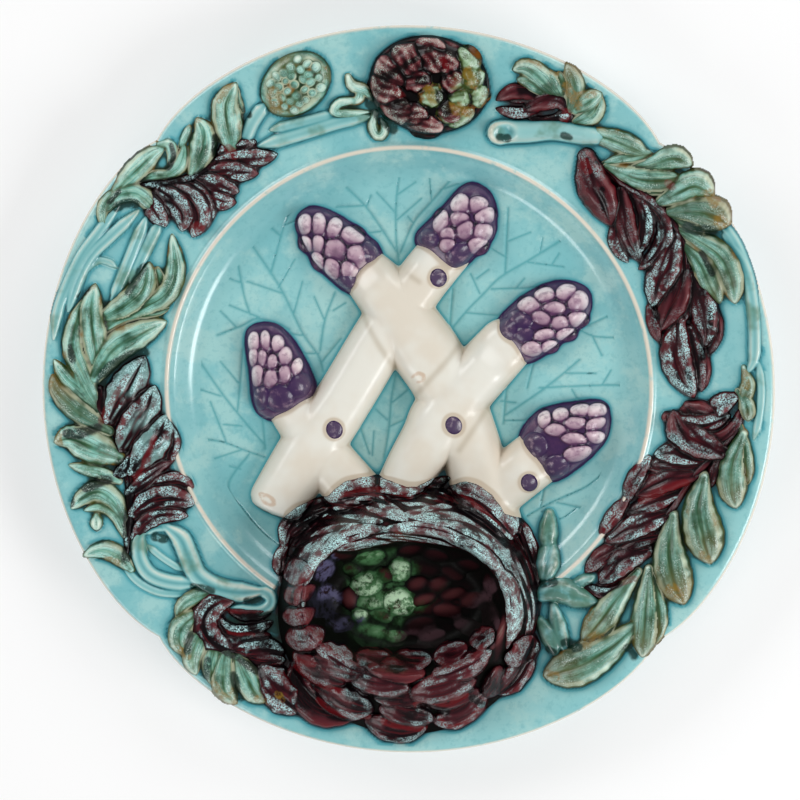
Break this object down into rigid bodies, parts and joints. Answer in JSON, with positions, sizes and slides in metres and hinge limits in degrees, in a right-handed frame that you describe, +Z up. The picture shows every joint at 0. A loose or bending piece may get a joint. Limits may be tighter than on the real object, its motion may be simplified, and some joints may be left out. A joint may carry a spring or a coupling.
{
  "type": "asparagus plate",
  "caption": "Round glazed asparagus plate with raised stalks in its well, leafy rim relief and a moulded artichoke sauce cup; serves and holds asparagus and its sauce.",
  "frame": {"origin": "middle of the plate, on the plane that its foot ring stands on", "axes": "+Z up out of the well, +Y from the sauce cup across the well to the bud on the opposite rim, +X to the right of that"},
  "size_m": [0.245, 0.245, 0.0367],
  "materials": {
    "turquoise_glaze": "glossy glaze",
    "cream_edge": "glossy glaze",
    "cup_glaze": "glossy glaze",
    "stem_glaze": "glossy glaze",
    "ivory_glaze": "glossy glaze",
    "violet_glaze": "glossy glaze",
    "leaf_glaze": "glossy glaze",
    "aubergine_glaze": "glossy glaze",
    "bud_glaze": "glossy glaze"
  },
  "bodies": {
    "root": {"plate_body": "turquoise_glaze", "foot_ring": "turquoise_glaze", "well_bead": "cream_edge", "sauce_cup": "cup_glaze", "cup_outer_bracts": "cup_glaze", "cup_swirl_bracts": "cup_glaze", "cup_crest_bracts": "cup_glaze", "cup_inner_scales": "cup_glaze", "cup_stubs": "stem_glaze", "stalk_1": "ivory_glaze", "stalk_2": "ivory_glaze", "stalk_3": "ivory_glaze", "stalk_4": "ivory_glaze", "stalk_5": "ivory_glaze", "stalk_buds": "violet_glaze", "tip_1": "violet_glaze", "tip_2": "violet_glaze", "tip_3": "violet_glaze", "tip_4": "violet_glaze", "tip_5": "violet_glaze", "tip_scales_1": "violet_glaze", "tip_scales_2": "violet_glaze", "tip_scales_3": "violet_glaze", "tip_scales_4": "violet_glaze", "tip_scales_5": "violet_glaze", "upper_left_green": "leaf_glaze", "upper_left_dark": "aubergine_glaze", "upper_left_midrib": "aubergine_glaze", "left_green": "leaf_glaze", "left_dark": "aubergine_glaze", "left_midrib": "aubergine_glaze", "left_stems": "stem_glaze", "lower_left_green": "leaf_glaze", "lower_left_dark": "aubergine_glaze", "lower_left_loop": "stem_glaze", "oval_bud": "leaf_glaze", "oval_bud_scales": "leaf_glaze", "top_stems": "stem_glaze", "bud_sepals": "leaf_glaze", "artichoke_bud": "bud_glaze", "artichoke_scales": "bud_glaze", "upper_right_green": "leaf_glaze", "upper_right_dark": "aubergine_glaze", "cut_stem": "stem_glaze", "right_green": "leaf_glaze", "right_dark": "aubergine_glaze", "right_midrib": "aubergine_glaze", "rim_stem": "stem_glaze", "lower_right_green": "leaf_glaze", "lower_right_dark": "aubergine_glaze", "lower_right_midrib": "aubergine_glaze"}
  },
  "joints": []
}
